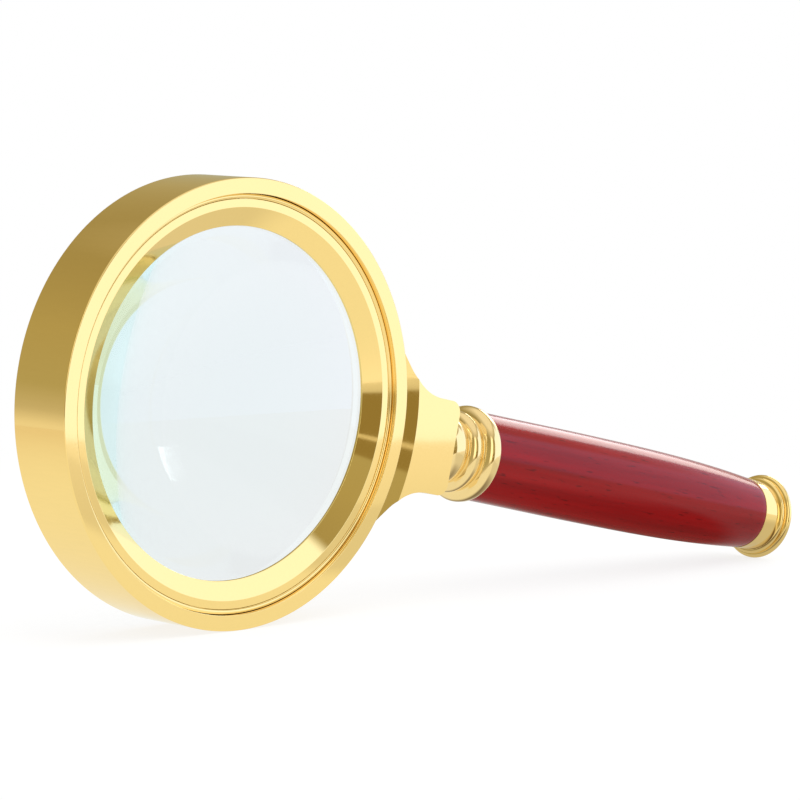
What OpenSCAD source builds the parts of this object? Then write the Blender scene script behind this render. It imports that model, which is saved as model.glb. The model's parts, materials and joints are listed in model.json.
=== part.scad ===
// A hand magnifier that stands on its ring and on the flange of its handle's end cap.
// Gilt ring, neck, ferrule and cap, a biconvex glass lens and a turned wooden grip.
// Every piece is drawn about the ring's centre, with the lens axis along Y and the handle
// along X, and is then tilted until rim and flange touch the ground at Z = 0.
// The front of the lens faces -Y. Millimetres.

/* [Lens] */
// Diameter of the lens
lens_d = 90; // [70:1:110]
// Radius of curvature of both faces of the lens
lens_face_r = 150; // [130:5:320]
// Thickness of the lens at its edge
lens_edge_t = 4; // [2.5:0.1:5.5]
// How far the bezel and the rear lip reach in over the lens
lens_lip = 2.6; // [1.8:0.1:3.6]
// Gap between the lens's edge and its pocket
lens_play = 0.3; // [0.1:0.05:0.4]
// Thickness of the soft ring behind the lens's edge
gasket_t = 1.3; // [0.8:0.1:2]

/* [Ring] */
// Width of the band from front to back
band_w = 18.6; // [17.4:0.1:24]
// Wall of the band outside the lens pocket
band_wall = 8.7; // [7.2:0.1:11]
// Width of the rim round the bezel
rim_w = 3.8; // [2.8:0.1:5]
// Chamfer on the rim's outer corners
rim_chamfer = 0.3; // [0.1:0.05:0.8]
// Thickness of the lip behind the lens
rear_lip_t = 2.2; // [1.2:0.1:3.2]
// Wall of the soft ring's sleeve, which lines that lip
sleeve_t = 0.9; // [0.5:0.1:1.2]

/* [Bezel] */
// Width of the groove between rim and bezel
groove_w = 1.3; // [1:0.05:1.7]
// Width of the bezel's flat
bezel_flat_w = 2; // [1.2:0.1:3]
// Depth of the bezel's flat below the rim
bezel_drop = 1.6; // [0.9:0.1:2.2]
// Depth of the groove's floor below the bezel's flat
groove_drop = 0.9; // [0.5:0.1:1.2]
// Depth of the bezel's sloping face
slope_drop = 2.5; // [1.5:0.1:3.5]
// Height of the straight wall between the slope and the lens
nose_wall = 0.6; // [0.4:0.1:2]
// Length of the bezel's skirt past the edge of the lens
skirt_len = 1.1; // [0.6:0.1:1.8]
// Gap between the snap ring's two ends
snap_gap = 1.5; // [1:0.1:4]

/* [Neck] */
// Length of the neck from the band to its end
neck_len = 18.1; // [17:0.1:26]
// Height of the neck at the ferrule
neck_h = 24; // [21:0.1:28]
// Straight stretch of the neck before it flares
neck_straight = 7.1; // [5:0.1:9]
// Radius of the flare that runs into the band
flare_r = 14.1; // [11:0.1:18]
// Half the angle of the ring that the neck's foot covers
saddle_angle = 26.65; // [25:0.05:28.5]
// Thickness of the foot's thin ends
saddle_end_t = 0.25; // [0.2:0.05:0.6]
// Width of the bevel along the rim
bevel_w = 4; // [2.5:0.1:5.5]
// Depth of that bevel at the rim
bevel_drop = 2.3; // [1.2:0.1:3]
// Radius of the neck's end corners
neck_corner_r = 3.2; // [0.6:0.1:4]

/* [Neck screws] */
// Thread diameter of the two neck screws
screw_d = 2.5; // [2:0.1:3]
// Diameter of their countersunk heads
screw_head_d = 4.2; // [3.6:0.1:4.4]
// How deep they go into the neck
screw_grip = 5.4; // [4:0.1:6.5]
// Angle of each screw from the handle's line
screw_angle = 10; // [9:0.5:12]

/* [Ferrule] */
// Diameter of the small bead, next to the neck
small_bead_d = 18.6; // [17:0.1:19.4]
// Width of the small bead
small_bead_w = 6; // [4:0.1:7]
// Diameter of the middle bead
middle_bead_d = 21.1; // [20:0.1:22.8]
// Width of the middle bead
middle_bead_w = 4; // [3:0.1:6]
// Diameter of the large bead
large_bead_d = 24.8; // [24.2:0.1:27]
// Width of the large bead
large_bead_w = 4.5; // [4:0.1:7]
// Depth of the creases below the smaller bead's crest
crease_drop = 1.5; // [0.6:0.1:2]
// Drop of the large bead towards the wood
tail_drop = 0.75; // [0.4:0.05:1.2]
// Diameter of the hollow that holds the nut
nut_hollow_d = 14; // [13:0.1:15.5]
// Depth of that hollow
nut_hollow_len = 7.2; // [7:0.1:8.5]
// Diameter of the fibre washer in the neck's end
washer_d = 13; // [10:0.1:15]
// Thickness of the fibre washer
washer_t = 1; // [0.5:0.1:1.5]

/* [Tie rod] */
// Thread diameter of the rod through the handle
rod_d = 6; // [5:0.1:6.5]
// Length of rod that screws into the neck
rod_grip = 12; // [9:0.1:13]
// Running clearance of the rod in the neck and the ferrule, on the radius
rod_clear = 0.05; // [0.02:0.01:0.08]
// Clearance of the rod in the wood, on the radius
rod_wood_clear = 0.2; // [0.1:0.05:0.3]
// Width of the nut across its flats
nut_af = 10; // [9.5:0.1:11]
// Thickness of the nut
nut_t = 5; // [4:0.1:5.2]
// Diameter of the washer under the nut
nut_washer_d = 12.5; // [12.2:0.1:12.8]
// Thickness of the washer under the nut
nut_washer_t = 1.6; // [1:0.1:1.7]

/* [Grip] */
// Length of the wooden grip
grip_len = 108.9; // [90:0.1:130]
// Diameter of the grip behind the ferrule
grip_front_d = 22.9; // [22:0.1:23.2]
// Diameter at the swell
grip_swell_d = 23.4; // [22:0.1:26]
// Distance of the swell from the front end
grip_swell_at = 44; // [30:1:60]
// Diameter at the cap
grip_end_d = 19.4; // [18:0.1:20.4]
// How late the taper towards the cap sets in
taper_power = 2.9; // [2:0.1:4]

/* [End cap] */
// Length of the collar next to the wood
collar_len = 5.7; // [3:0.1:8]
// How far the collar stands proud of the wood
collar_proud = 0.1; // [0:0.05:0.3]
// How much the collar narrows towards its bead, on the radius
collar_fall = 0.3; // [0:0.05:0.6]
// Width of the bead between collar and flange
cap_bead_w = 1.5; // [1:0.1:2.5]
// Height of that bead
cap_bead_h = 1.05; // [0.5:0.05:1.4]
// Diameter over the flange
flange_d = 23.2; // [22.6:0.1:26]
// Radius of the flange's round edge
flange_edge_r = 0.95; // [0.7:0.05:1.1]
// Height of the slight dome on the end
dome_h = 0.3; // [0.1:0.05:0.8]
// Diameter of the spigot that centres the cap in the wood
spigot_d = 12; // [9:0.1:13]
// Length of the spigot
spigot_len = 4; // [2.5:0.1:6]
// Fit of the spigot in the wood, on the radius
spigot_clear = 0.05; // [0.02:0.01:0.1]
// How far the rod goes into the cap, past the wood's end
rod_in_cap = 5.2; // [4:0.1:6.5]

/* [Hidden] */

$fn = 180;
gilt = "#E8C46A";
pale_gilt = "#F2DA8C";
steel = "#9FA3A8";
eps = 0.01;
arc_steps = 18;
seat_gap = 0.05;
thread_clear = 0.05;
drill_past = 0.3;
drill_end = 0.3;

// Radii about the lens axis
lens_r = lens_d / 2;
aperture_r = lens_r - lens_lip;
pocket_r = lens_r + lens_play;
ring_r = pocket_r + band_wall;
bezel_bore_r = ring_r - rim_w;
bezel_r = bezel_bore_r - thread_clear;
groove_r = bezel_bore_r - groove_w;
slope_r = groove_r - bezel_flat_w;

// Depths behind the plane of the front rim
function face_sag(r) = lens_face_r - sqrt(lens_face_r * lens_face_r - r * r);
groove_floor_at = bezel_drop + groove_drop;
slope_end_at = bezel_drop + slope_drop;
nose_at = slope_end_at + nose_wall;
lens_front_edge_at = nose_at + seat_gap + face_sag(lens_r) - face_sag(aperture_r);
lens_rear_edge_at = lens_front_edge_at + lens_edge_t;
lens_mid_at = (lens_front_edge_at + lens_rear_edge_at) / 2;
skirt_end_at = lens_front_edge_at + skirt_len;
lip_front_at = lens_rear_edge_at + gasket_t + seat_gap;
lip_rear_at = lip_front_at + rear_lip_t;
lip_r = aperture_r + sleeve_t + 2 * seat_gap;
screw_at = (skirt_end_at + lip_front_at) / 2;

// Stations along the handle, from the lens axis
neck_end = ring_r + neck_len;
flare_at = neck_end - neck_straight;
ferrule_end = neck_end + small_bead_w + middle_bead_w + large_bead_w;
grip_end = ferrule_end + grip_len;
rod_front = neck_end - rod_grip;
rod_rear = grip_end + rod_in_cap;
collar_end_r = grip_end_d / 2 + collar_proud - collar_fall;
flange_core_r = flange_d / 2 - flange_edge_r;
flange_mid = collar_len + cap_bead_w + flange_edge_r;
cap_len = flange_mid + flange_edge_r + dome_h;

// The tilt at which the rim and the flange's round edge both touch the ground
flange_at = grip_end + flange_mid;
rest_reach = norm([flange_at, flange_core_r]);
tilt = asin((ring_r - flange_edge_r) / rest_reach) - atan2(flange_core_r, flange_at);
far_end = flange_at * cos(tilt) + flange_core_r * sin(tilt) + flange_edge_r;
ring_x = (ring_r - far_end) / 2;

// The standing magnifier: the origin is on the ground, in the middle of its outline
module standing() {
    translate([ring_x, 0, ring_r]) rotate([0, tilt, 0]) children();
}

// Turns a profile of [radius, depth behind the rim] about the lens axis
module ring_turned(profile, sweep = 360) {
    translate([0, -band_w / 2, 0]) rotate([-90, 0, 0])
        rotate_extrude(angle = sweep) polygon(profile);
}

// Turns a profile of [radius, station] about the handle's axis
module handle_turned(profile) {
    rotate([0, 90, 0]) rotate_extrude() polygon(profile);
}

// A straight hole or shaft along the handle's axis
module on_handle(from, to, r) {
    translate([from, 0, 0]) rotate([0, 90, 0]) cylinder(h = to - from, r = r);
}

module frame_ring() {
    color(gilt) standing() difference() {
        ring_turned([
            [bezel_bore_r, 0], [ring_r - rim_chamfer, 0], [ring_r, rim_chamfer],
            [ring_r, band_w - rim_chamfer], [ring_r - rim_chamfer, band_w],
            [bezel_bore_r, band_w], [lip_r, lip_rear_at], [lip_r, lip_front_at],
            [pocket_r, lip_front_at], [pocket_r, skirt_end_at], [bezel_bore_r, skirt_end_at]
        ]);
        at_neck_screws() screw_clearance();
    }
}

// Both faces are arcs of the same radius, joined by the straight edge
module lens() {
    rim_sag = face_sag(lens_r);
    front_mid = lens_front_edge_at - rim_sag;
    rear_mid = lens_rear_edge_at + rim_sag;
    radii = [for (i = [0 : arc_steps]) lens_r * i / arc_steps];
    color([0.93, 0.97, 0.97, 0.4]) standing() ring_turned([
        for (r = radii) [r, front_mid + face_sag(r)],
        for (i = [arc_steps : -1 : 0]) [radii[i], rear_mid - face_sag(radii[i])]
    ]);
}

// The soft ring follows the lens's rear face, lies on the lip and lines it
module lens_gasket() {
    inner_r = aperture_r + seat_gap;
    outer_r = pocket_r - seat_gap;
    rear_at = lip_front_at - seat_gap / 2;
    sleeve_r = inner_r + sleeve_t;
    front_at = lens_rear_edge_at + seat_gap;
    color("#D9D4C3") standing() ring_turned([
        [inner_r, front_at + face_sag(lens_r) - face_sag(inner_r)],
        [lens_r, front_at], [outer_r, front_at], [outer_r, rear_at],
        [sleeve_r, rear_at], [sleeve_r, lip_rear_at], [inner_r, lip_rear_at]
    ]);
}

module bezel_ring() {
    skirt_r = pocket_r;
    color(pale_gilt) standing() ring_turned([
        [aperture_r, slope_end_at], [slope_r, bezel_drop], [groove_r, bezel_drop],
        [groove_r, groove_floor_at], [bezel_r, groove_floor_at], [bezel_r, skirt_end_at],
        [skirt_r, skirt_end_at], [skirt_r, lens_front_edge_at - seat_gap],
        [lens_r, lens_front_edge_at - seat_gap], [aperture_r, nose_at]
    ]);
}

// A round wire with a gap between its ends, lying on the groove's floor
module snap_ring() {
    wire_r = groove_w / 2 - seat_gap;
    wire_mid_r = bezel_bore_r - groove_w / 2;
    half_gap = asin(snap_gap / 2 / wire_mid_r);
    color(gilt) standing() translate([0, groove_floor_at - wire_r - band_w / 2, 0])
        rotate([-90, 180 + half_gap, 0])
            rotate_extrude(angle = 360 - 2 * half_gap)
                translate([wire_mid_r, 0]) circle(r = wire_r, $fn = 24);
}

// The neck's outline on the front plane.  From its end it has a round corner, a straight
// stretch and a round flare, which runs straight on to the thin end of the foot.
module neck_outline() {
    half_h = neck_h / 2;
    flare_z = half_h + flare_r;
    foot_r = ring_r + saddle_end_t;
    foot = [foot_r * cos(saddle_angle), foot_r * sin(saddle_angle)];
    flare_turn = asin(flare_r / norm([flare_at - foot.x, flare_z - foot.y]))
        + atan2(foot.y - flare_z, flare_at - foot.x);
    tangent = [flare_at - flare_r * sin(flare_turn), flare_z - flare_r * cos(flare_turn)];
    upper = [[foot.x - saddle_end_t - 1, foot.y], foot, tangent, [flare_at, flare_z],
             [flare_at, half_h], [neck_end, half_h]];
    lower = [for (i = [len(upper) - 1 : -1 : 0]) [upper[i].x, -upper[i].y]];
    corner_r = neck_corner_r;
    difference() {
        polygon(concat(upper, lower));
        for (side = [-1, 1]) {
            translate([flare_at, side * flare_z]) circle(r = flare_r);
            translate([neck_end - corner_r, side * (half_h - corner_r)]) scale([1, side])
                difference() {
                    square(corner_r + 1);
                    circle(r = corner_r);
                }
        }
    }
}

module neck() {
    bevel_past = 1 + 1 / bevel_drop;
    color(pale_gilt) standing() difference() {
        rotate([90, 0, 0]) translate([0, 0, -band_w / 2])
            linear_extrude(height = band_w) neck_outline();
        rotate([90, 0, 0]) cylinder(h = band_w + 2, r = ring_r, center = true);
        for (turn = [90, -90]) rotate([turn, 0, 0])
            translate([0, 0, band_w / 2 - bevel_drop])
                cylinder(h = bevel_drop * bevel_past, r1 = ring_r,
                         r2 = ring_r + bevel_w * bevel_past);
        on_handle(rod_front - drill_end, neck_end + 1, rod_d / 2 + rod_clear);
        on_handle(neck_end - washer_t, neck_end + 1, washer_d / 2 + seat_gap);
        at_neck_screws() screw_clearance();
    }
}

// The two screws lie in the plane of the lens pocket, above and below the handle's line
module at_neck_screws() {
    for (side = [-1, 1]) rotate([0, side * screw_angle, 0])
        translate([pocket_r, screw_at - band_w / 2, 0]) rotate([0, 90, 0]) children();
}

// A countersunk screw whose head starts at the pocket's wall
module screw(grow, past) {
    shank_r = screw_d / 2 + grow;
    head_r = screw_head_d / 2 + grow;
    translate([0, 0, seat_gap]) cylinder(h = head_r - shank_r, r1 = head_r, r2 = shank_r, $fn = 60);
    translate([0, 0, head_r - shank_r])
        cylinder(h = band_wall + screw_grip + past - head_r + shank_r, r = shank_r, $fn = 60);
    children();
}

module screw_clearance() {
    screw(seat_gap, drill_end)
        translate([0, 0, -1]) cylinder(h = 1 + 2 * seat_gap, r = screw_head_d / 2 + seat_gap, $fn = 60);
}

module neck_screws() {
    color(steel) standing() at_neck_screws() screw(0, 0);
}

// One bead's profile: it swells from one crease to its crest and falls to the next crease.
// Its first point is the last one of the profile before it.
function bead(from, width, crest_r, start_r, end_r) = [
    for (i = [1 : 2 * arc_steps])
        let (a = 90 * i / arc_steps, foot_r = a < 90 ? start_r : end_r)
        [foot_r + (crest_r - foot_r) * sin(a), from + width / 2 * (1 - cos(a))]
];

module ferrule() {
    middle_at = neck_end + small_bead_w;
    large_at = middle_at + middle_bead_w;
    bore_r = rod_d / 2 + rod_clear;
    first_crease_r = small_bead_d / 2 - crease_drop;
    second_crease_r = middle_bead_d / 2 - crease_drop;
    tail_r = large_bead_d / 2 - tail_drop;
    color(gilt) standing() difference() {
        handle_turned(concat(
            [[bore_r, ferrule_end], [bore_r, neck_end], [first_crease_r, neck_end]],
            bead(neck_end, small_bead_w, small_bead_d / 2, first_crease_r, first_crease_r),
            bead(middle_at, middle_bead_w, middle_bead_d / 2, first_crease_r, second_crease_r),
            bead(large_at, large_bead_w, large_bead_d / 2, second_crease_r, tail_r)
        ));
        on_handle(ferrule_end - nut_hollow_len, ferrule_end + 1, nut_hollow_d / 2);
    }
}

module ferrule_washer() {
    color("#5B3A29") standing() difference() {
        on_handle(neck_end - washer_t, neck_end, washer_d / 2);
        on_handle(neck_end - washer_t - 1, neck_end + 1, rod_d / 2 + rod_clear);
    }
}

module tie_rod() {
    color(steel) standing() on_handle(rod_front, rod_rear, rod_d / 2);
}

// The nut and its washer bear on the wood's front end, inside the ferrule's hollow
module rod_nut() {
    hole_r = rod_d / 2 + seat_gap;
    color(steel) standing() difference() {
        union() {
            on_handle(ferrule_end - nut_washer_t, ferrule_end, nut_washer_d / 2);
            translate([ferrule_end - nut_washer_t - nut_t, 0, 0]) rotate([0, 90, 0])
                cylinder(h = nut_t + eps, r = nut_af / sqrt(3), $fn = 6);
        }
        on_handle(ferrule_end - nut_hollow_len, ferrule_end + 1, hole_r);
    }
}

// The grip's radius at a distance from its front end: a slow swell, then a late taper
function grip_r(x) =
    x < grip_swell_at
        ? (grip_front_d + (grip_swell_d - grip_front_d)
            * (1 - cos(180 * x / grip_swell_at)) / 2) / 2
        : (grip_swell_d - (grip_swell_d - grip_end_d)
            * pow((x - grip_swell_at) / (grip_len - grip_swell_at), taper_power)) / 2;

module wood_grip() {
    grip_steps = 36;
    bore_r = rod_d / 2 + rod_wood_clear;
    color("#8E2026") standing() difference() {
        handle_turned(concat(
            [[bore_r, grip_end], [bore_r, ferrule_end]],
            [for (i = [0 : grip_steps])
                let (x = grip_len * i / grip_steps) [grip_r(x), ferrule_end + x]]
        ));
        on_handle(grip_end - spigot_len - drill_past, grip_end + 1, spigot_d / 2 + spigot_clear);
    }
}

// Collar, bead, then the flange with its round edge and a slightly domed end
module end_cap() {
    dome_r = (pow(flange_core_r, 2) + pow(dome_h, 2)) / (2 * dome_h);
    dome_turn = asin(flange_core_r / dome_r);
    bead_mid = collar_len + cap_bead_w / 2;
    color(gilt) standing() difference() {
        translate([grip_end, 0, 0]) handle_turned(concat(
            [[0, -spigot_len], [spigot_d / 2, -spigot_len], [spigot_d / 2, 0],
             [grip_end_d / 2 + collar_proud, 0]],
            [for (i = [0 : arc_steps]) let (a = 180 * i / arc_steps)
                [collar_end_r + cap_bead_h * sin(a), bead_mid - cap_bead_w / 2 * cos(a)]],
            [for (i = [0 : arc_steps]) let (a = 180 * i / arc_steps)
                [flange_core_r + flange_edge_r * sin(a), flange_mid - flange_edge_r * cos(a)]],
            [for (i = [1 : arc_steps])
                let (a = dome_turn * (1 - i / arc_steps))
                [dome_r * sin(a), cap_len - dome_r * (1 - cos(a))]]
        ));
        on_handle(grip_end - spigot_len - 1, rod_rear + drill_end, rod_d / 2 + rod_clear);
    }
}

frame_ring();
lens();
lens_gasket();
bezel_ring();
snap_ring();
neck();
neck_screws();
ferrule();
ferrule_washer();
tie_rod();
rod_nut();
wood_grip();
end_cap();
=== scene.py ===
"""A hand magnifier: gilt ring and fittings, a biconvex lens and a red lacquered grip.

The instrument is drawn in millimetres about the middle of its lens: x runs along the handle,
y along the lens axis with the front at -y, and z across both.  The stance then stands it on
its rim and on the flange of its end cap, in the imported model's frame.
"""
from __future__ import annotations

import json
import logging
import math
from dataclasses import dataclass
from enum import Enum
from typing import Any, Sequence

import bmesh
import bpy
from mathutils import Matrix, Vector

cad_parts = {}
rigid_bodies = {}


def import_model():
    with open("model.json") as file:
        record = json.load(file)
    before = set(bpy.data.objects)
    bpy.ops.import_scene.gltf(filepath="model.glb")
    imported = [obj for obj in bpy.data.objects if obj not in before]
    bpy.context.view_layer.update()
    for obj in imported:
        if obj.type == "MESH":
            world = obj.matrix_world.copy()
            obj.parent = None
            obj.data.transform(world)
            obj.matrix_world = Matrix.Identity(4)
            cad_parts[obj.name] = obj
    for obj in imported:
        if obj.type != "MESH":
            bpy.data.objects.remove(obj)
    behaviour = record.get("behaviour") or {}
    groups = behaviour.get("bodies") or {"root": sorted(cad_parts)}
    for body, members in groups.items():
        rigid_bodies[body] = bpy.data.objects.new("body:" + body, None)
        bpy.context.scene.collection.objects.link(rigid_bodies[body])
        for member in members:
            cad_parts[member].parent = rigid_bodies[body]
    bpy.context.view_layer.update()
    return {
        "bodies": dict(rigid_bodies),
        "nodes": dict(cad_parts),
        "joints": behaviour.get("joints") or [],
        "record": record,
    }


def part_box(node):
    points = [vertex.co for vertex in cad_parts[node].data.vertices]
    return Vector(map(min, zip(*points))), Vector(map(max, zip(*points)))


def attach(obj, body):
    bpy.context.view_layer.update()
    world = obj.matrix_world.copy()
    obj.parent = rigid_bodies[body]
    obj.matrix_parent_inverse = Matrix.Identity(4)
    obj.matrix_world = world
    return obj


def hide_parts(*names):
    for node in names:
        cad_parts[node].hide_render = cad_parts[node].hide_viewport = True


log = logging.getLogger("magnifier")

MM = 0.001
# Faces that meet at less than this angle are shaded as one curve.
SOFT_EDGE = math.radians(25)
# The neck's edges are rounded where its faces meet at more than this angle.
SHARP_EDGE = math.radians(60)
# In millimetres: points this near to each other are one point, points this near to a face lie
# in it, and a cut runs this far past the face that it opens.
WELD = 1e-4
AT_FACE = 0.01
CUT_PAST = 1.0
# Numbers of straight parts that stand for a curve.
TURNING_STEPS = 256
PLAIN_STEPS = 96
GRIP_STEPS = 54
WIRE_STEPS = 28
THREAD_STEPS = 24
CORNER_STEPS = 4
# Strength of the light that the lens pipes into its seat, where 1 is white paper.
PIPED_LIGHT = 1.1
WHITE = "#FFFFFF"

Socket = bpy.types.NodeSocket
Node = bpy.types.Node
Colour = tuple[float, float, float, float]


class Body(str, Enum):
    """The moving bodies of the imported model."""

    HEAD = "head"
    COLLAR = "collar"
    HANDLE = "handle"


class TurningAxis(Enum):
    """The two lines that round pieces are turned about."""

    LENS = "lens"
    HANDLE = "handle"


def linear(hex_colour: str, level: float = 1.0) -> Colour:
    """Turns an sRGB hex value into a linear colour.

    Args:
        hex_colour: Colour such as "#E8C46A".
        level: What its brightness is multiplied by.

    Returns:
        The linear red, green and blue, and an alpha of 1.
    """
    channels = [int(hex_colour.lstrip("#")[i:i + 2], 16) / 255 for i in (0, 2, 4)]
    r, g, b = (c / 12.92 if c <= 0.04045 else ((c + 0.055) / 1.055) ** 2.4 for c in channels)
    return r * level, g * level, b * level, 1.0


def whole(mesh: bmesh.types.BMesh) -> list[bmesh.types.BMElem]:
    """Returns all that a mesh is made of, for an operator to work on."""
    return mesh.verts[:] + mesh.edges[:] + mesh.faces[:]


def points(made: Sequence[bmesh.types.BMElem]) -> list[bmesh.types.BMVert]:
    """Returns the points among what an operator has made."""
    return [element for element in made if isinstance(element, bmesh.types.BMVert)]


def finished_mesh(name: str, mesh: bmesh.types.BMesh) -> bpy.types.Mesh:
    """Turns a mesh that is being made, which is used up, into mesh data."""
    data = bpy.data.meshes.new(name)
    mesh.to_mesh(data)
    mesh.free()
    return data


def placed(name: str, data: bpy.types.ID) -> bpy.types.Object:
    """Makes an object of mesh, lamp or camera data and links it to the scene."""
    obj = bpy.data.objects.new(name, data)
    bpy.context.scene.collection.objects.link(obj)
    return obj


@dataclass(frozen=True)
class Nodes:
    """Adds nodes to a tree and hands back the socket that each is read from.

    Attributes:
        tree: The node tree.
    """

    tree: bpy.types.NodeTree

    @classmethod
    def of(cls, owner: bpy.types.Material | bpy.types.World) -> Nodes:
        """Empties the node tree of a material or world to start anew in it."""
        owner.use_nodes = True
        owner.node_tree.nodes.clear()
        return cls(owner.node_tree)

    def add(self, kind: str, inputs: dict[str | int, Any] | None = None,
            **settings: Any) -> Node:
        """Adds one node with its settings and what goes into its sockets.

        Args:
            kind: Node type, without its "ShaderNode" start.
            inputs: Value or output socket for each named or numbered input.
            **settings: Properties of the node.

        Returns:
            The new node.
        """
        node = self.tree.nodes.new("ShaderNode" + kind)
        for name, value in settings.items():
            setattr(node, name, value)
        for key, value in (inputs or {}).items():
            socket = node.inputs[key]
            if isinstance(value, bpy.types.NodeSocket):
                self.tree.links.new(value, socket)
            else:
                socket.default_value = value
        return node

    def result(self, kind: str, inputs: dict[str | int, Any] | None = None,
               output: str | int = 0, **settings: Any) -> Socket:
        """Adds one node and returns its named or numbered output, the first if left out."""
        return self.add(kind, inputs, **settings).outputs[output]

    def light(self, about: str) -> Socket:
        """Returns what is known of the light's path, such as "Is Glossy Ray"."""
        return self.result("LightPath", output=about)

    def direct(self) -> Socket:
        """Returns 1 for what the camera sees itself or through glass, and else 0."""
        return self.calc("MAXIMUM", self.light("Is Camera Ray"), self.light("Is Transmission Ray"))

    def calc(self, operation: str, *terms: float | Socket) -> Socket:
        """Calculates with numbers, such as "MULTIPLY"."""
        return self.result("Math", dict(enumerate(terms)), operation=operation)

    def vector(self, operation: str, *terms: Socket | tuple[float, float, float]) -> Socket:
        """Calculates with vectors, such as "MULTIPLY" part by part."""
        output = "Value" if operation in ("LENGTH", "DOT_PRODUCT") else "Vector"
        return self.result("VectorMath", dict(enumerate(terms)), output, operation=operation)

    def noise(self, place: Socket, size: float, detail: float, roughness: float = 0.5,
              distortion: float = 0.0) -> Socket:
        """Adds noise.

        Args:
            place: Where it is looked up.
            size: Size of its patches, in the same unit.
            detail: How many finer layers it has.
            roughness: How strong these are.
            distortion: How much it is warped.

        Returns:
            The noise, about 0.5.
        """
        return self.result("TexNoise", {"Vector": place, "Scale": 1 / size, "Detail": detail,
                                        "Roughness": roughness, "Distortion": distortion})

    def ranged(self, value: Socket, source: tuple[float, float],
               target: tuple[float, float] = (0.0, 1.0), smooth: bool = False) -> Socket:
        """Maps a value from one range to another, and holds it at the ends.

        Args:
            value: The value.
            source: Range that it comes from.
            target: What the ends of that range become.
            smooth: Whether it eases in and out.

        Returns:
            The value in its new range.
        """
        return self.result("MapRange", {
            "Value": value, "From Min": source[0], "From Max": source[1], "To Min": target[0],
            "To Max": target[1]}, interpolation_type="SMOOTHSTEP" if smooth else "LINEAR")

    def ramp(self, value: Socket, stops: Sequence[tuple[float, Colour]]) -> Socket:
        """Turns a value into a colour.

        Args:
            value: The value.
            stops: Position and colour of each stop, in order.

        Returns:
            The colour.
        """
        node = self.add("ValToRGB", {"Fac": value})
        elements = node.color_ramp.elements
        while len(elements) < len(stops):
            elements.new(1.0)
        for element, (position, colour) in zip(elements, stops):
            element.position = position
            element.color = colour
        return node.outputs["Color"]

    def tones(self, value: Socket, dark: str, light: str) -> Socket:
        """Turns noise into a colour between two hex colours."""
        return self.ramp(value, [(0.3, linear(dark)), (0.7, linear(light))])

    def blend(self, factor: Socket, under: Socket | Colour, over: Socket | Colour) -> Socket:
        """Blends two colours, from the one under at 0 to the one over at 1."""
        return self.result("Mix", {"Factor": factor, "A": under, "B": over}, 2, data_type="RGBA")

    def mixed(self, factor: Socket, under: Socket, over: Socket) -> Socket:
        """Mixes two surfaces, from the one under at 0 to the one over at 1."""
        return self.result("MixShader", {0: factor, 1: under, 2: over})

    def bump(self, height: Socket, distance: float) -> Socket:
        """Bends the surface by a height, where 1 stands for the distance in millimetres."""
        return self.result("Bump", {"Height": height, "Strength": 1.0, "Distance": distance * MM})


def glow_through_glass(nodes: Nodes, surface: Socket, colour: str = "#FAFCFC",
                       through: float = 0.95, mirrored: float = 0.62) -> Socket:
    """Makes a milky surface look lit by the light that the lens pipes to it.

    Few render paths find their way through the lens into its seat, so a surface that is seen
    through the glass, or mirrored by the gilding round it, gets that light here.

    Args:
        nodes: The material's nodes.
        surface: The surface as it looks from outside.
        colour: Colour of the piped light.
        through: Its share for what is seen through the glass.
        mirrored: Its share for what the gilding mirrors.

    Returns:
        The surface to show.
    """
    piped = nodes.result("Emission", {"Color": linear(colour), "Strength": PIPED_LIGHT})
    in_gold = nodes.calc("MULTIPLY", nodes.light("Is Glossy Ray"), mirrored)
    inside = nodes.calc("MULTIPLY_ADD", nodes.light("Is Transmission Ray"), through, in_gold)
    return nodes.mixed(inside, surface, piped)


@dataclass(frozen=True)
class Stance:
    """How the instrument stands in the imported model's frame.

    Attributes:
        centre: Middle of the ring, in metres.
        tilt: Angle by which the handle slopes down, in radians.
    """

    centre: tuple[float, float, float]
    tilt: float

    @classmethod
    def of(cls, frame: dict[str, Any]) -> Stance:
        """Reads the stance from the ring's box and the handle's joint.


        Returns:
            The stance.
        """
        low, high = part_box("frame_ring")
        centre = tuple((a + b) / 2 for a, b in zip(low, high))
        joints = frame["record"]["behaviour"]["joints"]
        axis = next(j["axis"] for j in joints if j["name"] == "handle_turn")
        return cls(centre, math.atan2(-axis[2], axis[0]))

    def matrix(self) -> Matrix:
        """Returns the transform from the instrument's millimetres to the frame's metres."""
        return (Matrix.Translation(self.centre) @ Matrix.Rotation(self.tilt, 4, "Y")
                @ Matrix.Scale(MM, 4))

    def coordinates(self, nodes: Nodes) -> Socket:
        """Adds the nodes that give a material the instrument's own millimetres.

        Args:
            nodes: The material's nodes.

        Returns:
            The vector socket to read.
        """
        return nodes.result("Mapping", {
            "Vector": nodes.result("TexCoord", output="Object"), "Location": self.centre,
            "Rotation": (0.0, self.tilt, 0.0), "Scale": (MM, MM, MM)}, vector_type="TEXTURE")


@dataclass(frozen=True)
class Finish:
    """A finish of the instrument, made into a material once.

    Attributes:
        name: The material's name.
        stance: Where the instrument's millimetres lie.
    """

    name: str
    stance: Stance

    def material(self) -> bpy.types.Material:
        """Makes the material, or returns it if it is there already."""
        known = bpy.data.materials.get(self.name)
        if known:
            return known
        material = bpy.data.materials.new(self.name)
        nodes = Nodes.of(material)
        output = nodes.add("OutputMaterial", {"Surface": self.shade(nodes)})
        volume = self.fill(nodes)
        if volume:
            nodes.tree.links.new(volume, output.inputs["Volume"])
        return material

    def shade(self, nodes: Nodes) -> Socket:
        """Adds the finish's nodes and returns the surface to show."""
        raise NotImplementedError

    def fill(self, nodes: Nodes) -> Socket | None:
        """Adds the nodes of what fills the piece, if it isn't opaque, and returns them."""
        return None


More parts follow.
